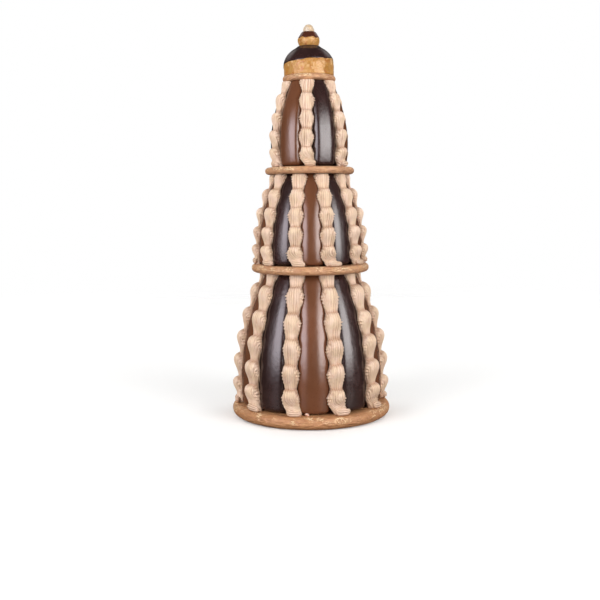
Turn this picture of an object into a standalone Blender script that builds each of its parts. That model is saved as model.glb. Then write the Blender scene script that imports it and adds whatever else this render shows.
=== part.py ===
"""Display religieuse: a tall cone of upright eclairs, a cast copy of the festive pastry.

Three tiers of eclairs stand side by side on round biscuit plates. Ribs of piped cream
shells cover the seams between them, a core inside carries the plates, and a large and
a small choux bun with a cream tip close the top.

Metres, +Z up, origin on the ground under the middle. Azimuth 0 is the front (-Y) and
grows towards +X.
"""

import math
from typing import NamedTuple

import bmesh
import bpy

# ------------------------------------------------------------------ driving dimensions

CLEARANCE = 0.0003  # left between neighbouring pieces
RIB_CLEARANCE = 0.0004  # a rib's sides to the eclairs, whose faces are curved

# How far each tier is turned off the front by hand when it was set down.
LOWER_TURN = math.radians(1.2)
MIDDLE_TURN = math.radians(1.0)
TOP_TURN = math.radians(-5.0)


class Plate(NamedTuple):
    """A round biscuit plate with a rolled rim."""

    name: str
    rim_radius: float  # axis to the middle of the rolled rim
    roll_radius: float  # half the thickness of the rim
    height: float  # ground to the middle of the rim


BASE = Plate("base_ring", 0.0819, 0.00684, 0.00684)
LOWER = Plate("ring_lower", 0.0609, 0.0045, 0.1645)
MIDDLE = Plate("ring_middle", 0.0453, 0.0038, 0.2706)
TOP = Plate("ring_top", 0.0255, 0.0034, 0.3695)

WEB_SHARE = 0.6  # depth of a plate's underside below its middle, of the roll's radius


class Tier(NamedTuple):
    """One ring of eclairs between two plates, with a rib over each seam."""

    name: str
    eclairs: int
    first_azimuth: float
    floor: Plate
    roof: Plate
    bulge_height: float  # ground to where the tier is widest
    bulge_radius: float  # axis to the eclairs' outer face there
    roof_radius: float  # the same just under the roof
    shell_pitch: float  # height of one piped shell
    shell_width: float
    head_lift: float  # how far a shell's head stands out past the eclairs
    tail_lift: float  # and its tail


TIERS = (
    Tier("lower", 10, LOWER_TURN, BASE, LOWER, 0.036, 0.0800, 0.0504,
         0.0264, 0.0200, 0.0080, 0.0032),
    Tier("middle", 10, MIDDLE_TURN, LOWER, MIDDLE, 0.180, 0.0583, 0.0368,
         0.0202, 0.0174, 0.0066, 0.0030),
    Tier("top", 6, TOP_TURN - math.pi / 6, MIDDLE, TOP, 0.298, 0.0425, 0.0256,
         0.0192, 0.0158, 0.0044, 0.0016),
)

ECLAIR_SIDES = 10
ECLAIR_SQUARENESS = 3.0  # power of the front half's outline; 2 is round, more is flatter
ECLAIR_END_SHARE = 0.34  # length of an eclair's rounded end, of its thickness there
ECLAIR_END_ANGLES = (0.35, 0.9, math.pi / 2)  # rings of an end, from its tip outwards
ECLAIR_MIDDLE_RINGS = 3

# A shell from its head (0) down to its tail (1): lift between tail and head, and width.
SHELL_PROFILE = ((0.0, 0.0, 0.72), (0.15, 0.72, 0.88), (0.42, 1.0, 1.0), (1.0, 0.0, 0.72))
SHELL_FRONT_POINTS = 5  # ridges and grooves across a shell's front, a ridge in the middle
GROOVE_DEPTH = 0.14  # of a shell's half width and lift
SHELL_TUCK = 0.88  # half width where a shell meets the eclairs, of its widest
SHELL_SQUARENESS = 0.6  # 1 is a plain ellipse, less is broader shouldered
FOOT_WIDTH = 1.0  # a rib's foot, of the shell's width
FOOT_SHIFT = 0.14  # how far it turns to one side, of the same
FOOT_LIFT = 0.3  # and its lift, between tail and head

PLATE_STEPS = 30
ROLL_POINTS = 7
CORE_STEPS = 16
SMOOTH_ANGLE = math.radians(50.0)  # edges sharper than this stay sharp

CHOUX_STEPS = 16
CHOUX_RINGS = 7
LARGE_CHOUX_RADIUS = 0.0278
LARGE_CHOUX_WAIST = 0.383  # height of its widest ring
LARGE_CHOUX_DOME = 0.0225  # waist to crown
LARGE_CHOUX_BELLY = 0.030  # waist to where its underside would close
SMALL_CHOUX_RADIUS = 0.0120
SMALL_CHOUX_WAIST = 0.4092
SMALL_CHOUX_DOME = 0.0108
SMALL_CHOUX_BELLY = 0.0100
SMALL_CHOUX_SEAT = 0.4037  # height of the flat between the two buns
TIP_STEPS = 12
TIP_RADIUS = 0.0061
TIP_SEAT = 0.4186
TIP_TOP = 0.4278
TIP_WAIST = 0.4216
TIP_BELLY = 0.0060

# ---------------------------------------------------------------------------- materials


def linear(channel):
    """Scene-linear value of a display colour channel given as 0 to 255."""
    value = channel / 255.0
    if value <= 0.04045:
        return value / 12.92
    return ((value + 0.055) / 1.055) ** 2.4


def finish(name, colour, roughness):
    """A plain cast-resin material in one colour."""
    material = bpy.data.materials.new(name)
    material.use_nodes = True
    shader = material.node_tree.nodes["Principled BSDF"]
    rgba = (*[linear(channel) for channel in colour], 1.0)
    shader.inputs["Base Color"].default_value = rgba
    shader.inputs["Roughness"].default_value = roughness
    shader.inputs["Metallic"].default_value = 0.0
    material.diffuse_color = rgba
    return material


# ------------------------------------------------------------------------------- shapes


def solid(name, bm):
    """Turn a closed bmesh into mesh data with outward faces and smooth shading."""
    bmesh.ops.remove_doubles(bm, verts=bm.verts, dist=1e-6)
    bmesh.ops.recalc_face_normals(bm, faces=bm.faces)
    mesh = bpy.data.meshes.new(name)
    bm.to_mesh(mesh)
    bm.free()
    mesh.shade_smooth()
    mesh.set_sharp_from_angle(angle=SMOOTH_ANGLE)
    return mesh


def turned(name, profile, steps, closed=False):
    """Spin a profile of (radius, height) points about the vertical axis."""
    bm = bmesh.new()
    verts = [bm.verts.new((radius, 0.0, height)) for radius, height in profile]
    edges = [bm.edges.new(pair) for pair in zip(verts, verts[1:])]
    if closed:
        edges.append(bm.edges.new((verts[-1], verts[0])))
    bmesh.ops.spin(bm, geom=verts + edges, cent=(0, 0, 0), axis=(0, 0, 1),
                   angle=math.tau, steps=steps, use_merge=True, use_duplicate=False)
    return solid(name, bm)


def lofted(name, sections):
    """Bridge rings of points, from the lowest up, and close both ends."""
    bm = bmesh.new()
    loops = []
    for section in sections:
        ring = bmesh.ops.create_circle(bm, segments=len(section), radius=1.0)["verts"]
        for vert, point in zip(ring, section):
            vert.co = point
        loops.append(list({edge for vert in ring for edge in vert.link_edges}))
    for below, above in zip(loops, loops[1:]):
        bmesh.ops.bridge_loops(bm, edges=below + above)
    bmesh.ops.holes_fill(bm, edges=loops[0] + loops[-1], sides=0)
    return solid(name, bm)


def web_top(plate):
    return plate.height + plate.roll_radius


def web_bottom(plate):
    return plate.height - WEB_SHARE * plate.roll_radius


def rim_bottom(plate):
    return plate.height - plate.roll_radius


def roll_arc(plate, start, end):
    """Points round a rim's roll; angle 0 points outwards and a quarter turn up."""
    points = []
    for index in range(ROLL_POINTS):
        angle = start + (end - start) * index / (ROLL_POINTS - 1)
        points.append((plate.rim_radius + plate.roll_radius * math.cos(angle),
                       plate.height + plate.roll_radius * math.sin(angle)))
    return points


# ------------------------------------------------------------------------ tier geometry


def outer_radius(tier, height):
    """Axis to the eclairs' outer face: a parabola with its apex at the bulge."""
    drop = tier.bulge_radius - tier.roof_radius
    run = rim_bottom(tier.roof) - tier.bulge_height
    return tier.bulge_radius - drop * ((height - tier.bulge_height) / run) ** 2


def half_step(tier):
    """Half the angle between neighbouring eclairs."""
    return math.pi / tier.eclairs


def thickness_radius(tier, height):
    """Radius of a round eclair that fills its share of the ring."""
    share = math.sin(half_step(tier))
    return outer_radius(tier, height) * share / (1.0 + share)


def inner_radius(tier, height):
    """Axis to the eclairs' inner face."""
    return outer_radius(tier, height) - 2.0 * thickness_radius(tier, height)


def outline(turn):
    """How far an eclair reaches at a turn off its outward side, of its radius.

    The back is round and the front is flattened, with broad round corners.
    """
    if math.cos(turn) <= 0.0:
        return 1.0
    across, along = abs(math.sin(turn)), math.cos(turn)
    return (across ** ECLAIR_SQUARENESS + along ** ECLAIR_SQUARENESS) ** (-1.0 / ECLAIR_SQUARENESS)


def eclair_mesh(tier):
    """A bar that swells at the bulge and closes in a short rounded end."""
    bottom = web_top(tier.floor) + CLEARANCE
    top = web_bottom(tier.roof) - CLEARANCE
    lower_end = ECLAIR_END_SHARE * thickness_radius(tier, bottom)
    upper_end = ECLAIR_END_SHARE * thickness_radius(tier, top)
    rings = [(bottom + lower_end * (1.0 - math.cos(angle)), math.sin(angle))
             for angle in ECLAIR_END_ANGLES]
    span = top - upper_end - bottom - lower_end
    for index in range(ECLAIR_MIDDLE_RINGS):
        share = (index + 1) / (ECLAIR_MIDDLE_RINGS + 1)
        rings.append((bottom + lower_end + span * share, 1.0))
    rings += [(top - upper_end * (1.0 - math.cos(angle)), math.sin(angle))
              for angle in reversed(ECLAIR_END_ANGLES)]
    sections = []
    for height, fullness in rings:
        radius = thickness_radius(tier, height)
        centre = outer_radius(tier, height) - radius
        drawn = (radius - CLEARANCE / 2.0) * fullness
        section = []
        for side in range(ECLAIR_SIDES):
            turn = math.tau * side / ECLAIR_SIDES
            reach = drawn * outline(turn)
            section.append((reach * math.sin(turn), -centre - reach * math.cos(turn), height))
        sections.append(section)
    return lofted(f"eclair_{tier.name}", sections)


def eclair_face(tier, height, side):
    """Distance along a seam plane to the eclair's face, side metres off that plane."""
    radius = thickness_radius(tier, height)
    centre = outer_radius(tier, height) - radius
    offset = centre * math.sin(half_step(tier)) - side
    middle = centre * math.cos(half_step(tier))
    near, far = 0.0, 1.5 * radius
    for _ in range(40):
        rise = (near + far) / 2.0
        turn = math.atan2(offset, rise) + half_step(tier)
        if math.hypot(offset, rise) < radius * outline(turn) + RIB_CLEARANCE:
            near = rise
        else:
            far = rise
    return middle + far


def seat_on_eclair(tier, height, side):
    """Where a rib's edge, side metres off the seam, lies on the eclair beside it.

    Returns the distance along the seam plane, and where the eclair's tangent there
    meets that plane.
    """
    step = 0.0001
    seat = eclair_face(tier, height, abs(side))
    slope = (eclair_face(tier, height, abs(side) + step) - seat) / step
    return seat, seat - abs(side) * slope


def shell_at(share):
    """Lift and width fractions at a share of the way from a shell's head to its tail."""
    for (start, lift, width), (end, next_lift, next_width) in zip(SHELL_PROFILE,
                                                                SHELL_PROFILE[1:]):
        if share <= end:
            mix = (share - start) / (end - start)
            return lift + (next_lift - lift) * mix, width + (next_width - width) * mix
    return SHELL_PROFILE[-1][1:]


def rib_section(tier, height, lift, width, shift):
    """One level of a rib: a keel in the seam, two edges, and a fluted front."""
    half = tier.shell_width * width / 2.0
    right, left = shift + half * SHELL_TUCK, shift - half * SHELL_TUCK
    right_seat, right_keel = seat_on_eclair(tier, height, right)
    left_seat, left_keel = seat_on_eclair(tier, height, left)
    crest = (outer_radius(tier, height) + tier.tail_lift
             + lift * (tier.head_lift - tier.tail_lift))
    points = [(0.0, max(right_keel, left_keel)), (right, right_seat)]
    for index in range(1, SHELL_FRONT_POINTS + 1):
        turn = math.pi * index / (SHELL_FRONT_POINTS + 1)
        fullness = 1.0 - GROOVE_DEPTH if index % 2 == 0 else 1.0
        side = math.copysign(abs(math.cos(turn)) ** SHELL_SQUARENESS, math.cos(turn))
        seat = right_seat if side > 0 else left_seat
        points.append((shift + half * side * fullness,
                       seat + (crest - seat) * math.sin(turn) * fullness))
    points.append((left, left_seat))
    return [(across, -along, height) for across, along in points]


def rib_mesh(tier):
    """Piped shells, one over the tail of the next, from the plate up to the roof."""
    foot = web_top(tier.floor) + CLEARANCE
    roof = rim_bottom(tier.roof) - CLEARANCE
    shift = FOOT_SHIFT * tier.shell_width
    sections = [rib_section(tier, foot, FOOT_LIFT, FOOT_WIDTH, shift)]
    shells = math.ceil((roof - foot) / tier.shell_pitch)
    for shell in range(shells):
        head = foot + tier.shell_pitch * (shell + 1.0)
        for share, lift, width in reversed(SHELL_PROFILE[:-1]):
            height = head - tier.shell_pitch * share
            if height < roof:
                sections.append(rib_section(tier, height, lift, width, 0.0))
    lift, width = shell_at((head - roof) / tier.shell_pitch)
    sections.append(rib_section(tier, roof, lift, width, 0.0))
    return lofted(f"rib_{tier.name}", sections)


# ------------------------------------------------------------------- plates, core, buns


def plate_mesh(plate, hole):
    """A plate with a rolled rim, level with it above, and a hole for the core."""
    profile = [(hole, web_bottom(plate)),
               *roll_arc(plate, math.asin(WEB_SHARE) - math.pi, math.pi / 2),
               (hole, web_top(plate))]
    return turned(plate.name, profile, PLATE_STEPS, closed=True)


def base_mesh(plate):
    """The widest plate, flat below so that the whole piece stands on it."""
    profile = [(0.0, 0.0),
               *roll_arc(plate, -math.pi / 2, math.pi / 2),
               (0.0, web_top(plate))]
    return turned(plate.name, profile, PLATE_STEPS)


def core_radii(tier, below=math.inf):
    """Radius of the core at a tier's floor and at its roof."""
    floor = inner_radius(tier, web_top(tier.floor)) - CLEARANCE
    roof = inner_radius(tier, rim_bottom(tier.roof)) - CLEARANCE
    return min(floor, below), roof


def core_profile():
    """A cone inside each tier, stepped in where a plate sits on its shoulder."""
    ground = web_top(BASE) + CLEARANCE
    profile = [(0.0, ground)]
    radius = math.inf
    for tier in TIERS:
        floor, roof = core_radii(tier, radius)
        if tier.floor is BASE:
            profile.append((floor, ground))
        else:
            profile.append((floor, rim_bottom(tier.floor) - CLEARANCE))
            profile.append((floor, web_top(tier.floor)))
        profile.append((roof, rim_bottom(tier.roof) - CLEARANCE))
        radius = roof
    profile.append((radius, web_top(TOP)))
    profile.append((0.0, web_top(TOP)))
    return profile


def hole_radius(tier_above, tier_below):
    """Hole of the plate between two tiers: the core there plus a clearance."""
    roof = core_radii(tier_below)[1]
    if tier_above is None:
        return roof + CLEARANCE
    return core_radii(tier_above, roof)[0] + CLEARANCE


def bun_mesh(name, radius, waist, dome, belly, bottom, top, steps):
    """A bun with a round dome and belly, cut flat at its bottom and its top."""
    first = -math.asin(min(1.0, (waist - bottom) / belly))
    last = math.asin(min(1.0, (top - waist) / dome))
    profile = [(0.0, bottom)]
    for index in range(CHOUX_RINGS):
        angle = first + (last - first) * index / (CHOUX_RINGS - 1)
        reach = dome if angle > 0 else belly
        profile.append((radius * math.cos(angle), waist + reach * math.sin(angle)))
    profile.append((0.0, top))
    return turned(name, profile, steps)


# ----------------------------------------------------------------------------- assembly


def place(name, mesh, material, group, azimuth=0.0):
    """Add a named piece, turned about the axis to its azimuth."""
    piece = bpy.data.objects.new(name, mesh)
    mesh.materials.clear()
    mesh.materials.append(material)
    piece.rotation_euler.z = azimuth
    piece.parent = group
    bpy.context.scene.collection.objects.link(piece)
    return piece


def build():
    for item in list(bpy.data.objects):
        bpy.data.objects.remove(item, do_unlink=True)

    milk = finish("milk_chocolate", (113, 70, 50), 0.28)
    dark = finish("dark_chocolate", (54, 36, 32), 0.25)
    cream = finish("piped_cream", (223, 193, 168), 0.6)
    biscuit = finish("biscuit_plate", (208, 158, 125), 0.55)
    crust = finish("choux_crust", (218, 170, 113), 0.5)
    support = finish("core_support", (190, 150, 110), 0.8)

    group = bpy.data.objects.new("religieuse", None)
    bpy.context.scene.collection.objects.link(group)

    place("core", turned("core", core_profile(), CORE_STEPS), support, group)
    place(BASE.name, base_mesh(BASE), biscuit, group)
    above = (*TIERS[1:], None)
    for tier, next_tier in zip(TIERS, above):
        mesh = plate_mesh(tier.roof, hole_radius(next_tier, tier))
        place(tier.roof.name, mesh, biscuit, group)

    for tier in TIERS:
        bar = eclair_mesh(tier)
        dark_bar = bar.copy()
        rib = rib_mesh(tier)
        for index in range(tier.eclairs):
            azimuth = tier.first_azimuth + index * 2.0 * half_step(tier)
            number = f"{tier.name}_{index + 1:02d}"
            if index % 2 == 0:
                place(f"eclair_{number}", bar, milk, group, azimuth)
            else:
                place(f"eclair_{number}", dark_bar, dark, group, azimuth)
            place(f"rib_{number}", rib, cream, group, azimuth + half_step(tier))

    place("choux_large", bun_mesh(
        "choux_large", LARGE_CHOUX_RADIUS, LARGE_CHOUX_WAIST, LARGE_CHOUX_DOME,
        LARGE_CHOUX_BELLY, web_top(TOP) + CLEARANCE, SMALL_CHOUX_SEAT - CLEARANCE,
        CHOUX_STEPS), crust, group)
    place("choux_small", bun_mesh(
        "choux_small", SMALL_CHOUX_RADIUS, SMALL_CHOUX_WAIST, SMALL_CHOUX_DOME,
        SMALL_CHOUX_BELLY, SMALL_CHOUX_SEAT, TIP_SEAT - CLEARANCE,
        CHOUX_STEPS), crust, group)
    place("cream_tip", bun_mesh(
        "cream_tip", TIP_RADIUS, TIP_WAIST, TIP_TOP - TIP_WAIST, TIP_BELLY,
        TIP_SEAT, TIP_TOP, TIP_STEPS), cream, group)


build()
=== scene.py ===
import math
import random
from typing import NamedTuple

import bmesh
import bpy
from mathutils import Matrix, Vector, noise


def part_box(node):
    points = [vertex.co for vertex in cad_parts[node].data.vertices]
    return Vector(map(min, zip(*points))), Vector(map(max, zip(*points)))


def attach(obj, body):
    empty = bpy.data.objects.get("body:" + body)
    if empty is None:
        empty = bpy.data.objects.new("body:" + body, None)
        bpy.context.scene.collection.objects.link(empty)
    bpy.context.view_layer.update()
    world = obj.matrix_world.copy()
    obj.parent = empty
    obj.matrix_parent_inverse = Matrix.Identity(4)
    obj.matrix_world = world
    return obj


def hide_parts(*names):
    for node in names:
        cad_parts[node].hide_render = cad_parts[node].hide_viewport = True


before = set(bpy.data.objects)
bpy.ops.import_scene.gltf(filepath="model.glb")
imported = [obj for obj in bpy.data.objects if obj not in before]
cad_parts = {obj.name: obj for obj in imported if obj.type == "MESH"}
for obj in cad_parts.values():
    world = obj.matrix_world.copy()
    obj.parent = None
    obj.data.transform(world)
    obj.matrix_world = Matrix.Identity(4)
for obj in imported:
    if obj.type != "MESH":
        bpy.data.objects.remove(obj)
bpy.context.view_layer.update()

# ------------------------------------------------------------------------ camera
# The viewpoint: just above the middle of the tower and a step away, tipped down a
# little so that the upper faces of the biscuit rings show. Azimuth 0 is this side.

CAMERA_PLACE = (-0.0117, -0.95, 0.2375)
CAMERA_TIP = 6.615  # degrees below the horizon
CAMERA_ROLL = -0.45
CAMERA_LENS = 51.05  # millimetres
CAMERA_SENSOR = 36.0


def added(name, data):
    """A new object in the scene."""
    item = bpy.data.objects.new(name, data)
    bpy.context.scene.collection.objects.link(item)
    return item


camera = added("camera", bpy.data.cameras.new("camera"))
camera.data.sensor_width = CAMERA_SENSOR
camera.data.lens = CAMERA_LENS
camera.data.clip_start = 0.01
camera.location = CAMERA_PLACE
tip = Matrix.Rotation(math.radians(90.0 - CAMERA_TIP), 3, "X")
roll = Matrix.Rotation(math.radians(CAMERA_ROLL), 3, "Z")
camera.rotation_euler = (tip @ roll).to_euler()
bpy.context.scene.camera = camera
bpy.context.scene.view_settings.view_transform = "Standard"

# ------------------------------------------------------------------------ studio
# A white floor that fades into a white surround, even soft light from all round, and
# tall soft boxes at the sides, whose reflections are the upright bands on the glaze.
# A dark card under the tower keeps the light from below off its lower sides.

WHITE = (1.0, 1.0, 1.0, 1.0)
KEY_POWER = 19.0
KEY_SIZE = (1.1, 1.3)
KEYS = ((-46.0, 1.0), (46.0, 1.0), (138.0, 0.5), (-138.0, 0.5))  # azimuth, share of power
KEY_DISTANCE = 1.5
KEY_HEIGHT = 0.70
KEY_TARGET = Vector((0.0, 0.0, 0.2))
BOX_DISTANCE = 1.3
# Shares of a soft box that fade: at the side next to azimuth 0, far side, bottom, top.
FRONT_FADE = (0.34, 0.07, 0.31, 0.36)
BACK_FADE = (0.40, 0.40, 0.50, 0.30)


class Box(NamedTuple):
    azimuth: float  # of its middle, in degrees
    spread: float  # width, in degrees
    low: float
    high: float
    glow: float
    tint: tuple
    fade: tuple


SOFT_BOXES = (
    Box(-36.5, 63.0, -0.12, 1.20, 8.6, (1.0, 0.95, 1.04, 1.0), FRONT_FADE),
    Box(39.5, 66.0, -0.12, 1.20, 10.8, (1.0, 0.98, 0.98, 1.0), FRONT_FADE),
    Box(134.0, 70.0, 0.60, 2.10, 0.9, (1.0, 0.97, 0.95, 1.0), BACK_FADE),
    Box(-134.0, 70.0, 0.60, 2.10, 0.9, (1.0, 0.97, 0.95, 1.0), BACK_FADE),
)
CARD_RADIUS = 0.27
CARD_LEVEL = -0.0006
FLOOR_RADIUS = 1.6
FLOOR_LEVEL = -0.0004
FLOOR_GLOW = 0.12  # lifts it to the white of the surround
FLOOR_FADE = (0.35, 0.95)  # of its radius, from solid to clear
DISC_SIDES = 96
SURROUND_SEEN = 1.0
SURROUND_LIGHT = 0.42
SURROUND_MIRRORED = 0.06


def linear(*channels):
    """Scene-linear colour of display channels from 0 to 255."""
    shares = [channel / 255.0 for channel in channels]
    return (*[s / 12.92 if s <= 0.04045 else ((s + 0.055) / 1.055) ** 2.4 for s in shares], 1.0)


def clamp(value, low=0.0, high=1.0):
    return max(low, min(high, value))


def at(azimuth, reach, height, across=0.0):
    """A point at an azimuth, 0 in front and a quarter turn at +X, or across to its right."""
    return Vector((across * math.cos(azimuth) + reach * math.sin(azimuth),
                   across * math.sin(azimuth) - reach * math.cos(azimuth), height))


def facing(item, place, target):
    item.location = place
    item.rotation_euler = (target - place).to_track_quat("-Z", "Y").to_euler()


for azimuth, share in KEYS:
    key = added(f"key_{azimuth:.0f}", bpy.data.lights.new("key", "AREA"))
    key.data.shape = "RECTANGLE"
    key.data.size, key.data.size_y = KEY_SIZE
    key.data.energy = KEY_POWER * share
    key.visible_camera = key.visible_glossy = False
    facing(key, at(math.radians(azimuth), KEY_DISTANCE, KEY_HEIGHT), KEY_TARGET)


def made(name, bm, material):
    """The object of a finished bmesh, in one material."""
    mesh = bpy.data.meshes.new(name)
    bm.to_mesh(mesh)
    bm.free()
    mesh.materials.append(material)
    return added(name, mesh)


def node(tree, kind, inputs=None, **settings):
    """A new node; each input gets a number, a colour or the output of another node."""
    new = tree.nodes.new("ShaderNode" + kind)
    for label, value in settings.items():
        setattr(new, label, value)
    for socket, value in (inputs or {}).items():
        if isinstance(value, bpy.types.NodeSocket):
            tree.links.new(value, new.inputs[socket])
        else:
            new.inputs[socket].default_value = value
    return new


def product(tree, first, second):
    return node(tree, "Math", {0: first, 1: second}, operation="MULTIPLY").outputs[0]


def ramp_down(tree, value, start, end):
    """1 up to start, then eased down to 0 at end."""
    ramp = node(tree, "MapRange", {"Value": value, "From Min": start, "From Max": end,
                                   "To Min": 1.0, "To Max": 0.0}, interpolation_type="SMOOTHSTEP")
    return ramp.outputs["Result"]


def soft_box(box):
    """A glowing panel that only reflections see, faded towards its four edges."""
    middle = (box.low + box.high) / 2.0
    width = 2.0 * BOX_DISTANCE * math.tan(math.radians(box.spread / 2.0))
    bm = bmesh.new()
    bmesh.ops.create_grid(bm, x_segments=1, y_segments=1, size=0.5)
    bmesh.ops.scale(bm, vec=(width, box.high - box.low, 1.0), verts=bm.verts)
    name = f"soft_box_{box.azimuth:.0f}"
    glow = bpy.data.materials.new(name)
    glow.use_nodes = True
    glow.cycles.emission_sampling = "NONE"
    tree = glow.node_tree
    tree.nodes.clear()
    place = node(tree, "TexCoord").outputs["Generated"]
    across, along, _ = node(tree, "SeparateXYZ", {0: place}).outputs
    near, far = (1.0, 0.0) if box.azimuth < 0.0 else (0.0, 1.0)
    level = box.glow
    for value, edge, share in zip((across, across, along, along), (near, far, 0.0, 1.0), box.fade):
        level = product(tree, ramp_down(tree, value, abs(edge - share), edge), level)
    shine = node(tree, "Emission", {"Color": box.tint, "Strength": level})
    node(tree, "OutputMaterial", {"Surface": shine.outputs[0]})
    panel = made(name, bm, glow)
    facing(panel, at(math.radians(box.azimuth), BOX_DISTANCE, middle), Vector((0.0, 0.0, middle)))
    panel.visible_camera = panel.visible_diffuse = panel.visible_shadow = False
    panel.visible_transmission = False


for box in SOFT_BOXES:
    soft_box(box)


class Finish:
    """A Principled material put together from colours, masks and relief."""

    def __init__(self, name, **even):
        self.material = bpy.data.materials.new(name)
        self.material.use_nodes = True
        self.tree = self.material.node_tree
        self.shader = self.tree.nodes["Principled BSDF"]
        for label, value in even.items():
            self.shader.inputs[label.replace("_", " ")].default_value = value

    def group(self, group, **values):
        """The output of a node group placed with its own values."""
        inputs = {label.replace("_", " "): value for label, value in values.items()}
        return node(self.tree, "Group", inputs, node_tree=group).outputs[0]

    def attribute(self, name):
        """A value stored on the points of the mesh."""
        return node(self.tree, "Attribute", attribute_name=name).outputs["Fac"]

    def both(self, first, second):
        """The overlap of two masks, or a share of one."""
        return product(self.tree, first, second)

    def mixed(self, first, second, mask):
        """Two colours, each a tuple or an output, mixed by a mask."""
        mix = node(self.tree, "Mix", {"Factor": mask, 6: first, 7: second}, data_type="RGBA")
        return mix.outputs[2]

    def patched(self, first, second, **values):
        """Two colours mixed by soft patches."""
        return self.mixed(first, second, self.group(PATCHES, **values))

    def coloured(self, colour):
        self.tree.links.new(colour, self.shader.inputs["Base Color"])

    def roughened(self, mask, low, high):
        """Roughness from low to high where the mask is strong."""
        spread = node(self.tree, "MapRange", {"Value": mask, "To Min": low, "To Max": high})
        self.tree.links.new(spread.outputs["Result"], self.shader.inputs["Roughness"])

    def raised(self, height, distance):
        """Fine relief, distance metres deep, on top of any that is there."""
        inputs = {"Height": height, "Distance": distance, "Strength": 1.0}
        for under in self.shader.inputs["Normal"].links:
            inputs["Normal"] = under.from_socket
        bump = node(self.tree, "Bump", inputs)
        self.tree.links.new(bump.outputs["Normal"], self.shader.inputs["Normal"])


def disc(name, radius, height, finish):
    bm = bmesh.new()
    bmesh.ops.create_circle(bm, cap_ends=True, segments=DISC_SIDES, radius=radius,
                            matrix=Matrix.Translation((0.0, 0.0, height)))
    item = made(name, bm, finish.material)
    return item


cardboard = Finish("cardboard", Base_Color=linear(92, 72, 54))
card = disc("dark_card", CARD_RADIUS, CARD_LEVEL, cardboard)
card.visible_camera = card.visible_shadow = False

paint = Finish("floor_paint", Base_Color=linear(240, 240, 239), Roughness=0.9,
               Emission_Color=WHITE, Emission_Strength=FLOOR_GLOW)
place = node(paint.tree, "TexCoord").outputs["Object"]
reach = node(paint.tree, "VectorMath", {0: place}, operation="LENGTH").outputs["Value"]
solid = ramp_down(paint.tree, reach, *(FLOOR_RADIUS * share for share in FLOOR_FADE))
paint.tree.links.new(solid, paint.shader.inputs["Alpha"])
floor = disc("floor", FLOOR_RADIUS, FLOOR_LEVEL, paint)
floor.visible_glossy = floor.visible_diffuse = floor.visible_shadow = False

world = bpy.data.worlds.new("surround")
world.use_nodes = True
bpy.context.scene.world = world
tree = world.node_tree
rays = node(tree, "LightPath")


def surround(strength):
    return node(tree, "Background", {"Color": WHITE, "Strength": strength}).outputs[0]


def either(ray, rest, chosen):
    """One shader for the rays of a kind, and another for the rest."""
    return node(tree, "MixShader", {0: rays.outputs[ray], 1: rest, 2: chosen}).outputs[0]


unseen = either("Is Glossy Ray", surround(SURROUND_LIGHT), surround(SURROUND_MIRRORED))
tree.links.new(either("Is Camera Ray", unseen, surround(SURROUND_SEEN)),
               tree.nodes["World Output"].inputs["Surface"])

# -------------------------------------------------------------------------- core
# A stepped cone of pressed support inside the tower, which carries the rings. The
# bars and the cream hide it, and the piece keeps its own solid.


def group_with(name, inputs, output):
    """A node group, the outputs of its input node and the socket for its one result."""
    tree = bpy.data.node_groups.new(name, "ShaderNodeTree")
    for label, value in inputs.items():
        socket = tree.interface.new_socket(label, in_out="INPUT", socket_type="NodeSocketFloat")
        socket.default_value = value
    tree.interface.new_socket(output, in_out="OUTPUT", socket_type="NodeSocketFloat")
    given = tree.nodes.new("NodeGroupInput").outputs
    return tree, given, tree.nodes.new("NodeGroupOutput").inputs[output]


def squashed(tree, tall):
    """The place on the object, with its height divided by tall."""
    place = node(tree, "TexCoord").outputs["Object"]
    across, along, up = node(tree, "SeparateXYZ", {0: place}).outputs
    height = node(tree, "Math", {0: up, 1: tall}, operation="DIVIDE").outputs[0]
    return node(tree, "CombineXYZ", {0: across, 1: along, 2: height}).outputs[0]


def patches_group():
    """Mask of soft patches: Scale in patches a metre, Tall stretches them upwards."""
    tree, given, result = group_with("patches", {"Scale": 100.0, "Tall": 1.0, "Low": 0.4,
                                                 "High": 0.6, "Detail": 2.0}, "Mask")
    cloud = node(tree, "TexNoise", {"Vector": squashed(tree, given["Tall"]),
                                    "Scale": given["Scale"], "Detail": given["Detail"]})
    cut = node(tree, "MapRange", {"Value": cloud.outputs["Fac"], "From Min": given["Low"],
                                  "From Max": given["High"]}, interpolation_type="SMOOTHSTEP")
    tree.links.new(cut.outputs["Result"], result)
    return tree


def grain_group():
    """Height of a cast surface: soft swells with finer grain on them."""
    tree, given, result = group_with("grain", {"Scale": 300.0, "Fineness": 5.0,
                                               "Fine share": 0.3}, "Height")
    place = node(tree, "TexCoord").outputs["Object"]
    finer = product(tree, given["Scale"], given["Fineness"])
    swell = node(tree, "TexNoise", {"Vector": place, "Scale": given["Scale"], "Detail": 1.0})
    speck = node(tree, "TexNoise", {"Vector": place, "Scale": finer, "Detail": 2.0})
    total = node(tree, "Math", {0: speck.outputs["Fac"], 1: given["Fine share"],
                                2: swell.outputs["Fac"]}, operation="MULTIPLY_ADD")
    tree.links.new(total.outputs[0], result)
    return tree


PATCHES = patches_group()
GRAIN = grain_group()

pressed = Finish("pressed_support", Roughness=0.85)
pressed.coloured(pressed.patched(linear(186, 146, 106), linear(164, 122, 84), Scale=90.0))
pressed.raised(pressed.group(GRAIN, Scale=500.0), 0.0006)
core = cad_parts["core"]
core.data.materials.clear()
core.data.materials.append(pressed.material)

# ----------------------------------------------------------------- biscuit rings
# A thick base ring and three thinner ones of tan biscuit paste, each rolled by hand
# into a round rim, level with it on top. They part the courses, and the base lies on
# its flat underside. Short pale threads on the upper front of each roll are a paler
# syrup colour and painted glints of light.


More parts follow.
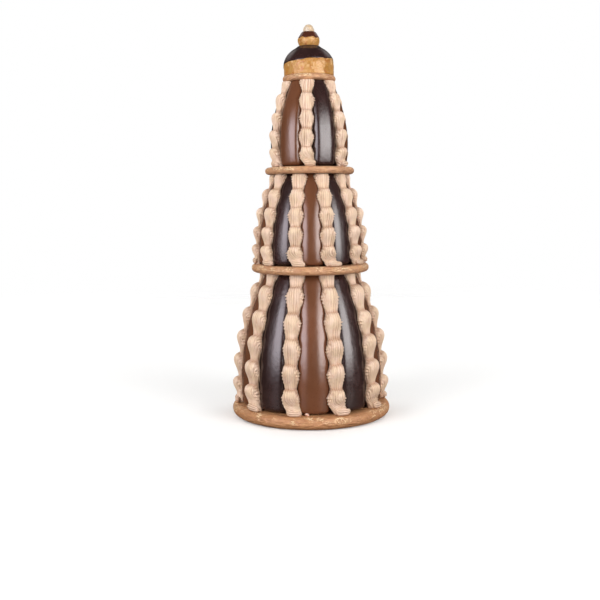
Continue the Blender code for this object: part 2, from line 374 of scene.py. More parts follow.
class Ring(NamedTuple):
    name: str
    solid: str
    rim_radius: float  # axis to the middle of the rolled rim
    roll_radius: float
    height: float  # ground to the middle of the rim


BASE = Ring("biscuit_base", "base_ring", 0.0819, 0.00684, 0.00684)
LOWER = Ring("biscuit_ring_lower", "ring_lower", 0.0609, 0.0045, 0.1645)
MIDDLE = Ring("biscuit_ring_middle", "ring_middle", 0.0453, 0.0038, 0.2706)
TOP = Ring("biscuit_ring_top", "ring_top", 0.0255, 0.0034, 0.3695)
UNDER_SHARE = 0.6  # depth of the flat underside below the middle, of the roll's radius
HOLE_SHARE = 0.46  # radius of the hole for the core, of the rim's
RING_TURNS = 300
ROLL_POINTS = 26
WAVE_DEPTH = 0.00030
WAVE_LENGTH = 0.0075
WAVE_SQUAT = 1.6  # how much shorter the waves are upwards than round the ring
FINE_WAVES = 2.3  # how many finer waves go into one
FINE_SHARE = 0.5  # and how deep they are beside it
UNPRESSED = 0.25  # level of the waves at which the roll keeps its shape
GROUND = 1e-5  # up to this height the base keeps its flat underside
# From where the pale threads, syrup colour and painted glints, thicken on a roll, upwards and
# outwards in its radii, and how fast.
GLINTS_AND_SYRUP_UP = (-0.2, 3.0)
GLINTS_AND_SYRUP_OUT = (0.1, 4.0)


def finished(name, bm, material, slot, *solids):
    """Turn a piece's faces outward, smooth it, hang it under the root, and hide the solids it
    stands for.
    """
    bm.normal_update()
    bmesh.ops.recalc_face_normals(bm, faces=bm.faces)
    piece = made(name, bm, material)
    piece.data.shade_smooth()
    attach(piece, "root")
    if solids:
        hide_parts(*solids)


def azimuth_of(point):
    return math.atan2(point.x, -point.y)


def ring_profile(ring):
    """Half section of a ring, from its underside round the roll to its level top."""
    flat = ring is BASE
    first = -math.pi / 2.0 if flat else math.asin(UNDER_SHARE) - math.pi
    hole = 0.0 if flat else HOLE_SHARE * ring.rim_radius
    under = ring.height - (1.0 if flat else UNDER_SHARE) * ring.roll_radius
    points = [(hole, under)]
    for index in range(ROLL_POINTS):
        angle = first + (math.pi / 2.0 - first) * index / (ROLL_POINTS - 1)
        points.append((ring.rim_radius + ring.roll_radius * math.cos(angle),
                       ring.height + ring.roll_radius * math.sin(angle)))
    points.append((hole, ring.height + ring.roll_radius))
    return points


def hand_waves(bm, ring):
    """Press long shallow waves into the roll, and none into the flat parts."""
    seed = 10.0 * ring.height
    for vert in bm.verts:
        across = math.hypot(vert.co.x, vert.co.y) - ring.rim_radius
        if across < 0.0 or vert.co.z < GROUND:
            continue
        spot = Vector((vert.co.x, vert.co.y, WAVE_SQUAT * vert.co.z)) / WAVE_LENGTH
        wave = noise.noise(spot + Vector((seed, 0.0, 0.0)))
        wave += FINE_SHARE * noise.noise(FINE_WAVES * spot + Vector((0.0, seed, 0.0)))
        push = WAVE_DEPTH * min(0.0, wave - UNPRESSED) * across / ring.roll_radius
        outward = at(azimuth_of(vert.co), across, vert.co.z - ring.height)
        vert.co += outward.normalized() * push


def glints_and_syrup_on(ring, point):
    """How far the pale threads, syrup colour and painted glints, reach a point: on the front of
    the roll and over its top.
    """
    rise = (point.z - ring.height) / ring.roll_radius
    out = (math.hypot(point.x, point.y) - ring.rim_radius) / ring.roll_radius
    up_from, up_rate = GLINTS_AND_SYRUP_UP
    out_from, out_rate = GLINTS_AND_SYRUP_OUT
    return clamp(up_rate * (rise - up_from)) * clamp(out_rate * (out - out_from))


def rolled_ring(ring):
    """The half section turned once round the axis, marked for its syrup and painted glints, then
    pressed.
    """
    bm = bmesh.new()
    outline = [bm.verts.new((reach, 0.0, height)) for reach, height in ring_profile(ring)]
    edges = [bm.edges.new(pair) for pair in zip(outline, outline[1:])]
    if ring is not BASE:
        edges.append(bm.edges.new((outline[-1], outline[0])))
    bmesh.ops.spin(bm, geom=outline + edges, cent=(0, 0, 0), axis=(0, 0, 1),
                   angle=math.tau, steps=RING_TURNS, use_merge=True, use_duplicate=False)
    bmesh.ops.remove_doubles(bm, verts=bm.verts, dist=1e-6)
    brushed = bm.verts.layers.float.new("brushed")
    for vert in bm.verts:
        vert[brushed] = glints_and_syrup_on(ring, vert.co)
    hand_waves(bm, ring)
    return bm


def squiggles_group():
    """Mask of short thin winding lines, Scale of them a metre, along the ground."""
    tree, given, result = group_with("squiggles", {"Scale": 300.0, "Width": 0.03,
                                                   "Tall": 0.5}, "Mask")
    cloud = node(tree, "TexNoise", {"Vector": squashed(tree, given["Tall"]),
                                    "Scale": given["Scale"], "Detail": 1.5})
    off = node(tree, "Math", {0: cloud.outputs["Fac"], 1: 0.5}, operation="SUBTRACT")
    size = node(tree, "Math", {0: off.outputs[0]}, operation="ABSOLUTE")
    cut = node(tree, "MapRange", {"Value": size.outputs[0], "From Max": given["Width"],
                                  "To Min": 1.0, "To Max": 0.0})
    tree.links.new(cut.outputs["Result"], result)
    return tree


SQUIGGLES = squiggles_group()


def baked_paste(name, deep, light, spots, glint_and_syrup_colour):
    """Satin biscuit paste in two tones with darker spots and pale threads of syrup colour and
    painted glints.
    """
    paste = Finish(name, Specular_IOR_Level=0.5)
    tone = paste.patched(deep, light, Scale=150.0, Tall=0.5, Low=0.42, High=0.62)
    tone = paste.patched(tone, spots, Scale=330.0, Tall=0.6, Low=0.52, High=0.74)
    here = paste.both(paste.attribute("brushed"),
                      paste.group(PATCHES, Scale=60.0, Tall=1.0, Low=0.46, High=0.58))
    # Painted glints: pale, smoother threads on the upper front of each roll, in a syrup colour.
    threads = paste.both(paste.group(SQUIGGLES, Scale=210.0, Width=0.075, Tall=0.35), here)
    paste.coloured(paste.mixed(tone, glint_and_syrup_colour, threads))
    paste.roughened(threads, 0.42, 0.2)
    paste.raised(paste.group(PATCHES, Scale=160.0, Tall=0.35, Low=0.30, High=0.72, Detail=1.0),
                 0.0006)
    paste.raised(paste.group(GRAIN, Scale=420.0, Fine_share=0.5), 0.0004)
    paste.raised(threads, 0.0004)
    return paste.material


# Painted shade: the base ring gets a darker copy of the paste, for the less light that reaches it
# low down.
SHADED_BASE_PASTE = baked_paste("biscuit_paste_base", linear(174, 124, 86), linear(182, 133, 92),
                         linear(164, 112, 80), linear(255, 224, 180))
RING_PASTE = baked_paste("biscuit_paste_rings", linear(182, 135, 101), linear(198, 151, 111),
                         linear(170, 116, 84), linear(255, 226, 182))

for ring in (BASE, LOWER, MIDDLE, TOP):
    finished(ring.name, rolled_ring(ring), SHADED_BASE_PASTE if ring is BASE else RING_PASTE,
             "biscuit", ring.solid)

# ------------------------------------------------------------------- glazed bars
# Three courses of upright eclairs, ten, ten and six, by turns in milk and in dark
# chocolate glaze. Each is a bar that swells low down, flattened in front and closed in
# a short round end, and leans on its neighbours. The glaze is a poured gloss coat.


class Course(NamedTuple):
    name: str
    bars: int
    turn: float  # azimuth of the first bar, in degrees
    floor: Ring
    roof: Ring
    bulge_height: float  # ground to where the course is widest
    bulge_radius: float  # axis to the bars' outer face there
    roof_radius: float  # the same under the roof


COURSES = (
    Course("lower", 10, 1.2, BASE, LOWER, 0.036, 0.0800, 0.0504),
    Course("middle", 10, 1.0, LOWER, MIDDLE, 0.180, 0.0583, 0.0368),
    Course("top", 6, -35.0, MIDDLE, TOP, 0.298, 0.0425, 0.0256),
)
SEAM = 0.0003  # left between neighbouring pieces
BAR_SQUARENESS = 3.0  # power of the outline in front; 2 is round, more is flatter
BAR_SIDES = 72
BAR_ROWS = 60
BAR_END_ROWS = 0.20  # share of the rows in each rounded end
BAR_END = 0.34  # length of a rounded end, of the bar's thickness there
BAR_END_POWER = 3.4  # 2 is a round end, more is squarer
POUR_WAVE = 0.00012
POUR_LENGTH = 0.030


def ground_of(course):
    return course.floor.height + course.floor.roll_radius + SEAM


def outer_reach(course, height):
    """Axis to the bars' outer face, which bows in from the bulge to the roof."""
    drop = course.bulge_radius - course.roof_radius
    run = course.roof.height - course.roof.roll_radius - course.bulge_height
    return course.bulge_radius - drop * ((height - course.bulge_height) / run) ** 2


def bar_radius(course, height):
    """Half the width of a bar that fills its share of the course."""
    share = math.sin(math.pi / course.bars)
    return outer_reach(course, height) * share / (1.0 + share)


def bar_outline(turn):
    """Reach of a bar, in half widths, at a turn off its outward side."""
    if math.cos(turn) <= 0.0:
        return 1.0
    across, along = abs(math.sin(turn)), math.cos(turn)
    return (across ** BAR_SQUARENESS + along ** BAR_SQUARENESS) ** (-1.0 / BAR_SQUARENESS)


def ball(turns, rows, radius=1.0):
    bm = bmesh.new()
    bmesh.ops.create_uvsphere(bm, u_segments=turns, v_segments=rows, radius=radius)
    return bm


def share_down(vert):
    """How far down a unit ball a point lies, 0 at its top and 1 at its foot."""
    return math.acos(clamp(vert.co.z, -1.0)) / math.pi


def bar_level(share, low, high, low_end, high_end):
    """Height and fullness of a bar from its top (0) down to its foot (1)."""
    inward = min(share, 1.0 - share) / BAR_END_ROWS
    if inward < 1.0:
        power = 2.0 / BAR_END_POWER
        turn = inward * math.pi / 2.0
        left = 1.0 - math.cos(turn) ** power
        height = high - high_end * left if share < 0.5 else low + low_end * left
        return height, math.sin(turn) ** power
    along = (share - BAR_END_ROWS) / (1.0 - 2.0 * BAR_END_ROWS)
    return high - high_end - (high - high_end - low - low_end) * along, 1.0


def glazed_bar(course, azimuth, seed):
    low = ground_of(course)
    high = course.roof.height - UNDER_SHARE * course.roof.roll_radius - SEAM
    low_end = BAR_END * bar_radius(course, low)
    high_end = BAR_END * bar_radius(course, high)
    bm = ball(BAR_SIDES, BAR_ROWS)
    for vert in bm.verts:
        height, fullness = bar_level(share_down(vert), low, high, low_end, high_end)
        turn = azimuth_of(vert.co)
        radius = bar_radius(course, height)
        spot = Vector((math.sin(turn), math.cos(turn), height / POUR_LENGTH + seed))
        drawn = (radius - SEAM / 2.0) * fullness - POUR_WAVE * (1.0 + noise.noise(spot))
        drawn = max(drawn, 0.0) * bar_outline(turn)
        centre = outer_reach(course, height) - radius
        vert.co = at(azimuth, centre + drawn * math.cos(turn), height, drawn * math.sin(turn))
    return bm


def poured_glaze(name, thin, thick, speck):
    """Glossy glaze, a little redder where it is thin, with a faint orange peel."""
    glaze = Finish(name, Specular_IOR_Level=0.5)
    colour = glaze.patched(thin, thick, Scale=60.0, Tall=5.0, Low=0.38, High=0.64)
    glaze.coloured(glaze.patched(colour, speck, Scale=700.0, Low=0.60, High=0.74))
    glaze.roughened(glaze.group(PATCHES, Scale=140.0, Tall=2.0, Low=0.35, High=0.7), 0.20, 0.26)
    glaze.raised(glaze.group(GRAIN, Scale=260.0, Fineness=4.0, Fine_share=0.25), 0.00010)
    return glaze.material


GLAZES = {
    "milk": poured_glaze("milk_chocolate_glaze", linear(105, 64, 42), linear(98, 60, 39),
                         linear(92, 54, 35)),
    "dark": poured_glaze("dark_chocolate_glaze", linear(48, 29, 27), linear(40, 24, 22),
                         linear(34, 20, 18)),
}


def round_tower(shift):
    """Every place in the courses: its course, index, azimuth and label."""
    for course in COURSES:
        for index in range(course.bars):
            azimuth = math.radians(course.turn) + (index + shift) * math.tau / course.bars
            yield course, index, azimuth, f"{course.name}_{index + 1:02d}"


for course, index, azimuth, label in round_tower(0.0):
    kind = "dark" if index % 2 else "milk"
    finished(f"{kind}_bar_{label}", glazed_bar(course, azimuth, 3.7 * index + course.bars),
             GLAZES[kind], f"{kind}_glaze", f"eclair_{label}")

# ------------------------------------------------------------------- piped cream
# A rib of stiff cream covers each seam between bars. It is a chain of shells from a
# star nozzle, the head of each laid over the tail of the one above, and the last one
# is swirled and pulled off to the right on the ring below.


class Piping(NamedTuple):
    pitch: float  # height of one shell
    width: float
    head_lift: float  # how far a head stands out past the bars
    tail_lift: float
    pull: float  # how far to the right of the rib the end is pulled off


class Hand(NamedTuple):
    """How one shell came out of the bag."""

    width: float  # of the usual
    lean: float  # metres to the right
    drift: float  # of its ridges to the right, in ridges
    seed: float
    lift: float  # how far its head stands out, of the usual
    frill_left: float  # size of the scallops at its left side, of the usual
    frill_right: float
    raise_left: float  # how far up they sit, in shares of the pitch
    raise_right: float
    slant: float  # how much lower its right side hangs, in shares of the pitch
    slim: float  # how much narrower than its head its tail is


PIPING = {
    "lower": Piping(0.0264, 0.0170, 0.0084, 0.0016, 0.0150),
    "middle": Piping(0.0202, 0.0148, 0.0070, 0.0016, 0.0130),
    "top": Piping(0.0192, 0.0142, 0.0050, 0.0007, 0.0108),
}
# Lowest and highest of each.
HAND_RANGES = Hand((0.96, 1.03), (-0.0004, 0.0004), (-0.25, 0.25), (0.0, 50.0), (0.94, 1.04),
                   (0.5, 1.4), (0.5, 1.4), (-0.04, 0.06), (-0.04, 0.06), (-0.03, 0.03),
                   (0.13, 0.22))
HEIGHT_RANGE = (-0.0006, 0.0006)  # how far a shell sits above its place
FIRST_HEAD = 0.97  # ground to the head of the lowest shell, in pitches
SHELL_TURNS = 56  # points round a ridge, from head to tail and back underneath
FOOT_TURNS = 96
SHELL_ROWS = 52  # rows of points from one side to the other
FRONT_SHARE = 0.74  # of the points on the outside of the shell
HEAD_CROWDING = 1.3  # power that draws those points up to the head
HEAD_START = -0.10  # where a head comes out of the tail above, in shares of the pitch
TAIL_END = 1.12
TAIL_CLOSING = 0.94  # share of the way round the outside from which the tail closes
CREST = 0.17  # share down a shell where it stands out most
WAIST = (0.38, 0.90)  # from where to where it narrows to its tail
NECK = (-0.05, 0.34)  # and to where it widens from its head
NECK_SLIM = 0.08
FOOT_SLIM = 0.05
LIFT_END = 0.92  # share down a shell at which its lift is used up
LIFT_PAST = 1.15  # how far past that its tail sinks on
LIFT_POWER = 0.85  # 1 is an even fall, less falls sooner
LOW_LIFT = 0.07  # what is left of the lift at a tail, and at a foot
FOOT_LIFT = 0.42
CURL = 0.42  # share down a shell where the ridges curl in at its sides
HEAD_CURL = 12.0  # how squarely the ridges turn round the curl, above it
TAIL_CURL = 14.0  # and below it
HEAD_POWER = 2.6  # 2 is a round head, more is squarer
RIDGE_WIDTH = 0.0030
RIDGE_WANDER = 0.40  # how far the ridges wander sideways, in ridges
GROOVE_DEPTH = 0.0013
GROOVE_USUAL = 0.80  # share of that which a groove has, how uneven it is, and its limits
GROOVE_UNEVEN = 0.9
GROOVE_LIMITS = (0.2, 1.1)
GROOVE_POWER = 1.3  # 1 is as wide as a ridge, more is narrower
GROOVE_START = 3.0  # how fast a groove gets its depth from the head and from the tail
GROOVE_SIDE = 0.3  # fullness over which it runs out at the sides
GROOVE_INWARD = 1.5  # how far it cuts into the sides, of its depth
GROOVE_SHADE = 0.75  # shade in a groove at the sides, and how much less on the crest
CREST_SHADE = 0.20
SHOULDER = 3.4  # 2 is a round shell, more is squarer
FLANK = 1.2  # length of a flank over a shell's lift
NESTED = (0.35, 0.70)  # share of the way to the side from which the ridges nest in arcs
KEEL = 0.004  # how deep the cream reaches into the seam
SEAT_SHARE = 0.92  # share of the half width at which a shell rests on its bars
EDGE_GAP = 0.0008  # the side of a shell to the bar beside it
EDGE_STRIP = (0.88, 0.98)  # share of the way to the side from which the scallops stick out
RESTING = (0.55, 0.85)  # and from which the underside lies on the bars
SKIRT = 0.07  # how far the dark underside shows past a shell, of the half width: painted shade in the seam
SKIRT_FLECK = 0.16  # how long its ragged bits are, of the pitch
SKIRT_USUAL = 0.45  # share of it that mostly shows, and the least
SKIRT_LEAST = 0.1
REST_GAP = 0.0001  # the underside to the bar it lies on
# Share down a shell, size, and run above and below each scallop at its sides.
FRILLS = ((0.20, 0.4, 0.07, 0.02), (0.31, 1.0, 0.09, 0.02), (0.43, 0.7, 0.07, 0.02),
          (0.56, 0.5, 0.07, 0.03), (0.70, 0.3, 0.07, 0.03))
FRILL_REACH = 0.25  # of the half width
FRILL_LIFT = 0.0006
FOOT_SHIFT = 0.27  # how far a foot is pulled to the right, of the width
FOOT_SHIFTED = (0.45, 1.0)  # from where to where, in shares down the foot
FOOT_SWEEP = 5.6  # how many ridges cross to the right on their way down a foot
FOOT_SWEPT = (0.12, 1.0)
# Shares down a shell where shade gathers under the tail above, and under the head below.
HEAD_SHADE = (-0.09, 0.01)
TAIL_SHADE = (0.76, 0.96)
JOINT_SHADE = 0.65
SIDE_SHADE = (0.997, 1.0)  # share of the way to the side from which a shell's rim is shaded
SEAM_SHADE_END = (0.97, 1.0)  # and from which the painted shade of its underside ends
FACE_STEPS = 50  # of a bar's half width, at which its face is worked out beside a seam
FACE_REACH = 76
PULL_TURNS = 44
PULL_ROWS = 30
PULL_START = -0.16  # where the pulled-off end leaves the foot, of the width
PULL_GIRTH = 0.20  # of the width
PULL_LENGTHS = (0.85, 1.12)  # least and most, of the usual
PULL_GIRTHS = (0.92, 1.08)
PULL_TWISTS = (0.0, 2.0)  # where its ridges start round it
PULL_CURLS = (0.1, 0.8)  # how far its end curls up, in girths
PULL_OUT = 0.50  # how far it stands out past the bars, of a head's lift
PULL_IN = 0.15  # and how much less at its end
PULL_LEVEL = 0.95  # ring to its middle, in girths
PULL_DROOP = 0.36  # how much lower its end is
PULL_START_RISE = 0.35  # how much higher its start is, in girths
PULL_TALL = 1.15  # height of its section over its depth
PULL_TAPER = 0.30
PULL_BLUNT = 6  # 2 is a round end, more is squarer
PULL_RIDGES = 8.0
PULL_WIND = 2.5  # how far they wind from its start to its end
PULL_GROOVE = 0.22  # depth of a groove, of the girth
PULL_GROOVE_POWER = 1.4


def face_rises(bars):
    """How far a bar's face stands past its middle at steps off the seam, in half widths."""
    half = math.pi / bars
    rises = []
    for step in range(FACE_REACH):
        offset = 1.0 - step / FACE_STEPS
        near, far = 0.0, 1.5
        for _ in range(24):
            rise = (near + far) / 2.0
            if math.hypot(offset, rise) < bar_outline(math.atan2(offset, rise) + half):
                near = rise
            else:
                far = rise
        rises.append(far)
    return rises


FACE_RISES = {course.name: face_rises(course.bars) for course in COURSES}


def bar_face(course, height, side):
    """Axis to the bar's face along a rib, side metres off the seam."""
    radius = bar_radius(course, height)
    step = min(abs(side) / radius * FACE_STEPS, FACE_REACH - 1.01)
    rises = FACE_RISES[course.name]
    below = int(step)
    rise = rises[below] + (rises[below + 1] - rises[below]) * (step - below)
    return radius * (1.0 / math.tan(math.pi / course.bars) + rise)


def smooth(value, low, high):
    share = clamp((value - low) / (high - low))
    return share * share * (3.0 - 2.0 * share)


def over_crest(piping, size):
    """Way over a shell from its crest to a share of its half width."""
    sunk = 1.0 - math.sqrt(max(0.0, 1.0 - size ** SHOULDER))
    return piping.width / 2.0 * size + FLANK * piping.head_lift * sunk


def even_rows(piping):
    """Shares of the half width that lie evenly spaced over the crest and a flank."""
    rows = [0.0]
    for step in range(1, SHELL_ROWS // 2):
        near, far = 0.0, 1.0
        for _ in range(30):
            size = (near + far) / 2.0
            if over_crest(piping, size) < over_crest(piping, 1.0) * step / (SHELL_ROWS / 2):
                near = size
            else:
                far = size
        rows.append(near)
    return [*rows, 1.0]


SHARES_OUT = {name: even_rows(piping) for name, piping in PIPING.items()}


def shell_width(down, slim):
    """Width of a shell at a share of the way down, of its widest."""
    return 1.0 - NECK_SLIM * (1.0 - smooth(down, *NECK)) - slim * smooth(down, *WAIST)


def shell_lift(down, foot):
    """How far a shell stands out at a share of the way down, from tail (0) to head (1)."""
    if down < CREST:
        return 1.0
    fall = min(LIFT_PAST, (down - CREST) / (LIFT_END - CREST)) ** LIFT_POWER
    lift = (1.0 - LOW_LIFT) * (1.0 + math.cos(math.pi * fall)) / 2.0 + LOW_LIFT
    return max(lift, FOOT_LIFT) if foot else lift


def shell_fullness(share, way):
    """Fullness of a shell along its middle, round at the head and closed at the tail."""
    rounding = max(0.0, CREST - share) / (CREST - HEAD_START)
    closing = max(0.0, way - TAIL_CLOSING) / (1.0 - TAIL_CLOSING)
    head = max(0.0, 1.0 - rounding ** HEAD_POWER) ** (1.0 / HEAD_POWER)
    return head * math.sqrt(max(0.0, 1.0 - closing ** 2))


def frill(hand, down, right):
    """Small scallops at one side of a shell, each ending in a point."""
    down += hand.raise_right if right else hand.raise_left
    best = 0.0
    for place, size, above, below in FRILLS:
        off = down - place
        best = max(best, size * (1.0 + off / above if off < 0 else 1.0 - off / below))
    return best * (hand.frill_right if right else hand.frill_left)


def groove_at(piping, hand, share, down, side, foot):
    """Depth of the groove at a point outside, 0 on a ridge and about 1 between two."""
    swept = smooth(down, *FOOT_SWEPT) if foot else 0.0
    out = over_crest(piping, abs(side))
    whole = over_crest(piping, 1.0)
    above = max(0.0, CURL - down) * piping.pitch * smooth(out / whole, *NESTED)
    nested = whole - math.hypot(whole - out, above)
    ridge = math.copysign(nested, side) / RIDGE_WIDTH + hand.drift
    ridge = ridge * (1.0 - 0.5 * swept) - FOOT_SWEEP * swept ** 1.5
    ridge += RIDGE_WANDER * noise.noise(Vector((1.8 * share, 1.5 * side, hand.seed)))
    uneven = noise.noise(Vector((0.45 * ridge, 1.3 * share, hand.seed + 7.0)))
    depth = clamp(GROOVE_USUAL + GROOVE_UNEVEN * uneven, *GROOVE_LIMITS)
    return depth * (0.5 - 0.5 * math.cos(math.tau * ridge)) ** GROOVE_POWER


def ball_on_side(bm, turns, rows):
    """The points of a unit ball with its poles at the left and right."""
    return bmesh.ops.create_uvsphere(bm, u_segments=turns, v_segments=rows, radius=1.0,
                                     matrix=Matrix.Rotation(math.pi / 2, 4, "Y"))["verts"]


def pipe_shell(bm, layers, course, azimuth, head, foot, draw):
    """Squeeze one shell: a ball turned on its side and pulled down to a tail."""
    groove, stain = layers
    piping = PIPING[course.name]
    hand = Hand(*(draw.uniform(*limits) for limits in HAND_RANGES))
    half = piping.width / 2.0 * hand.width
    slim = FOOT_SLIM if foot else hand.slim
    tail = 1.0 if foot else TAIL_END
    front_turn = math.tau * FRONT_SHARE
    begin = (math.pi - front_turn) / 2.0
    for vert in ball_on_side(bm, FOOT_TURNS if foot else SHELL_TURNS, SHELL_ROWS):
        row = math.asin(clamp(vert.co.x, -1.0))
        turn = (math.atan2(-vert.co.y, vert.co.z) - begin) % math.tau
        size = SHARES_OUT[course.name][round(abs(row) / math.pi * SHELL_ROWS)]
        side = math.copysign(size, row)
        outside = turn <= front_turn
        if outside:
            way = turn / front_turn
            share = HEAD_START + (tail - HEAD_START) * way ** HEAD_CROWDING
        else:
            way = (turn - front_turn) / (math.tau - front_turn)
            share = tail + (HEAD_START - tail) * way
        turned = size ** (HEAD_CURL if share < CURL else TAIL_CURL)
        down = CURL + (share - CURL) * math.sqrt(1.0 - turned) + hand.slant * side
        height = head - down * piping.pitch
        width = half * shell_width(down, slim)
        seat = bar_face(course, height, SEAT_SHARE * width) + EDGE_GAP
        edge = smooth(size, *EDGE_STRIP)
        scallop = frill(hand, down, side > 0.0) * edge
        across = width * side + math.copysign(half * FRILL_REACH * scallop, side)
        if outside:
            full = math.sqrt(max(0.0, 1.0 - size ** SHOULDER))
            fullness = shell_fullness(share, way)
            valley = groove_at(piping, hand, share, down, side, foot)
            whole = min(1.0, GROOVE_START * fullness) * min(1.0, full / GROOVE_SIDE)
            cut = GROOVE_DEPTH * valley * whole
            crest = (outer_reach(course, height) + piping.tail_lift
                     + shell_lift(down, foot) * hand.lift * (piping.head_lift - piping.tail_lift))
            along = seat + (crest - seat) * fullness * full - cut * full + FRILL_LIFT * scallop
            across -= math.copysign(GROOVE_INWARD * cut * (1.0 - full), side)
            joint = 1.0 - smooth(share, *HEAD_SHADE)
            if not foot:
                joint += smooth(share, *TAIL_SHADE)
            # Painted shade in the grooves, under the joints between shells and at the rim.
            vert[groove] = min(1.0, (GROOVE_SHADE - CREST_SHADE * full) * valley
                               + JOINT_SHADE * joint + smooth(size, *SIDE_SHADE))
        else:
            ragged = noise.noise(Vector((down / SKIRT_FLECK, 2.0 * side, hand.seed + 20.0)))
            across += width * side * SKIRT * max(SKIRT_LEAST, SKIRT_USUAL + ragged) * edge
            rested = bar_face(course, height, across) + REST_GAP
            hollow = seat - KEEL * math.sin(math.pi * way)
            along = hollow + (rested - hollow) * smooth(size, *RESTING)
            # Painted shade: the underside is dark where it shows in the seam beside the bar.
            vert[stain] = 1.0 - smooth(size, *SEAM_SHADE_END)
        if foot:
            across += FOOT_SHIFT * piping.width * smooth(down, *FOOT_SHIFTED)
        vert.co = at(azimuth, along, height, across + hand.lean)


def pull_off(bm, layers, course, azimuth, draw):
    """The end of a foot, swirled over to the right and curled up as the nozzle left it."""
    groove, _ = layers
    piping = PIPING[course.name]
    start = PULL_START * piping.width
    length = piping.pull * draw.uniform(*PULL_LENGTHS) - start
    thick = PULL_GIRTH * piping.width * draw.uniform(*PULL_GIRTHS)
    twist = draw.uniform(*PULL_TWISTS)
    curl = draw.uniform(*PULL_CURLS) * thick
    ground = ground_of(course)
    seat = outer_reach(course, ground + thick) + PULL_OUT * piping.head_lift
    for vert in ball_on_side(bm, PULL_TURNS, PULL_ROWS):
        way = (vert.co.x + 1.0) / 2.0
        turn = math.atan2(vert.co.y, vert.co.z)
        wind = PULL_RIDGES * turn + PULL_WIND * way + twist
        valley = (0.5 - 0.5 * math.cos(wind)) ** PULL_GROOVE_POWER
        girth = thick * math.sqrt(max(0.0, 1.0 - vert.co.x ** PULL_BLUNT))
        girth *= (1.0 - PULL_TAPER * way ** 2) * (1.0 - PULL_GROOVE * valley)
        along = seat - PULL_IN * piping.head_lift * way ** 2 + girth * math.sin(turn)
        middle = ground + PULL_LEVEL * thick * (1.0 - PULL_DROOP * way ** 2) + curl * way ** 4
        height = (middle + PULL_TALL * girth * math.cos(turn)
                  + PULL_START_RISE * thick * (1.0 - way) ** 2)
        vert.co = at(azimuth, along, max(ground, height), start + way * length)
        # Painted shade in its grooves.
        vert[groove] = valley


def rib(course, azimuth, draw):
    """Pipe a whole rib and trim it flat under the ring above."""
    piping = PIPING[course.name]
    ground = ground_of(course)
    roof = course.roof.height - course.roof.roll_radius - SEAM
    bm = bmesh.new()
    layers = [bm.verts.layers.float.new(name) for name in ("groove", "stain")]
    shells = math.ceil((roof - ground) / piping.pitch)
    for shell in range(shells):
        head = ground + piping.pitch * (shell + FIRST_HEAD)
        if 0 < shell < shells - 1:
            head += draw.uniform(*HEIGHT_RANGE)
        pipe_shell(bm, layers, course, azimuth, head, shell == 0, draw)
    pull_off(bm, layers, course, azimuth, draw)
    cut = bmesh.ops.bisect_plane(bm, geom=[*bm.verts, *bm.edges, *bm.faces], dist=1e-7,
                                 plane_co=(0, 0, roof), plane_no=(0, 0, 1), clear_outer=True)
    rim = [edge for edge in cut["geom_cut"] if isinstance(edge, bmesh.types.BMEdge)]
    bmesh.ops.holes_fill(bm, edges=rim, sides=0)
    return bm


cream = Finish("piped_cream", Roughness=0.5, Specular_IOR_Level=0.4)
whipped = cream.patched(linear(232, 205, 184), linear(228, 202, 174),
                        Scale=110.0, Low=0.38, High=0.62)
whipped = cream.patched(whipped, linear(219, 184, 158), Scale=420.0, Tall=2.5, Low=0.52, High=0.74)
# Painted shade: darker in the grooves, under the joints between shells and at their rims.
whipped = cream.mixed(whipped, linear(150, 105, 78), cream.both(cream.attribute("groove"), 0.75))
# Painted shade in the seam: the dark underside shows as a line along each rib.
cream.coloured(cream.mixed(whipped, linear(62, 36, 26), cream.attribute("stain")))
cream.raised(cream.group(GRAIN, Scale=600.0, Fine_share=0.4), 0.00025)

for course, index, azimuth, label in round_tower(0.5):
    draw = random.Random(f"{course.name} rib {index}")
    finished(f"cream_rib_{label}", rib(course, azimuth, draw), cream.material, "cream",
             f"rib_{label}")

# ------------------------------------------------------------------ large choux
# A round choux bun sits in the top ring. Its golden crust is a little lumpy, and the
# dark glaze poured over its crown ends in a wavy lip, with one run at the left.


class Bun(NamedTuple):
    radius: float
    waist: float  # height of its widest level
    dome: float  # waist to crown
    belly: float  # waist to where its underside would close
    bottom: float
    top: float


LARGE_BOTTOM, LARGE_TOP = (corner.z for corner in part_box("choux_large"))
LARGE = Bun(0.0278, 0.383, 0.0225, 0.030, LARGE_BOTTOM, LARGE_TOP)
LARGE_COLLAR = (0.0012, 0.0152)  # height and reach of the glaze that welled up on its crown
BUN_SIDES = 96
BUN_ROWS = 72
BUN_CAP = 0.08  # share of the rows in its flat crown, and in its flat underside
GLAZE_THICKNESS = 0.0007
# Shares of a glaze's rows, from the crown to the end of its flat top, its outer skin and
# its lip. The rest lies inside the crust.
GLAZE_TOP = 0.12
GLAZE_SKIN = 0.66
GLAZE_LIP = 0.82
GLAZE_END = 0.995  # and from here on it closes at the axis
GLAZE_INSIDE = 1.6  # how deep its inner skin lies, in thicknesses
LIP_DEPTH = 0.7  # how deep its lip rolls in, in thicknesses
LIP_HANG = 0.03  # and how far it hangs down, in radians
EDGE_LIMITS = (-0.2, 0.9)  # lowest and highest place of an edge, in shares of the dome
COLLAR_EDGE = 0.7  # share of a collar's reach at which it starts to fall
SKIN_GAP = 0.0001
FINE_LUMPS = 2.7  # how many finer lumps go into one
FINE_LUMP = 0.45  # and how high they are beside it
LUMPS_SUNK = 0.7  # how far the lumps lie inside the bun's skin, in lumps
LUMPS_START = (0.0, 0.2)  # radians above the underside over which they rise
CRUST_LIP = 0.014  # how far the crust swells just under its glaze, of its radius
LIP_RISE = (-0.0004, 0.0008)  # metres below the glaze's edge over which it swells
LIP_FALL = (0.0012, 0.0050)  # and over which it shrinks again
UNDER_GLAZE = 0.8  # how deep the crust lies under its glaze, in thicknesses
UNDER_START = (0.0004, 0.0020)  # metres above the glaze's edge over which it gets there
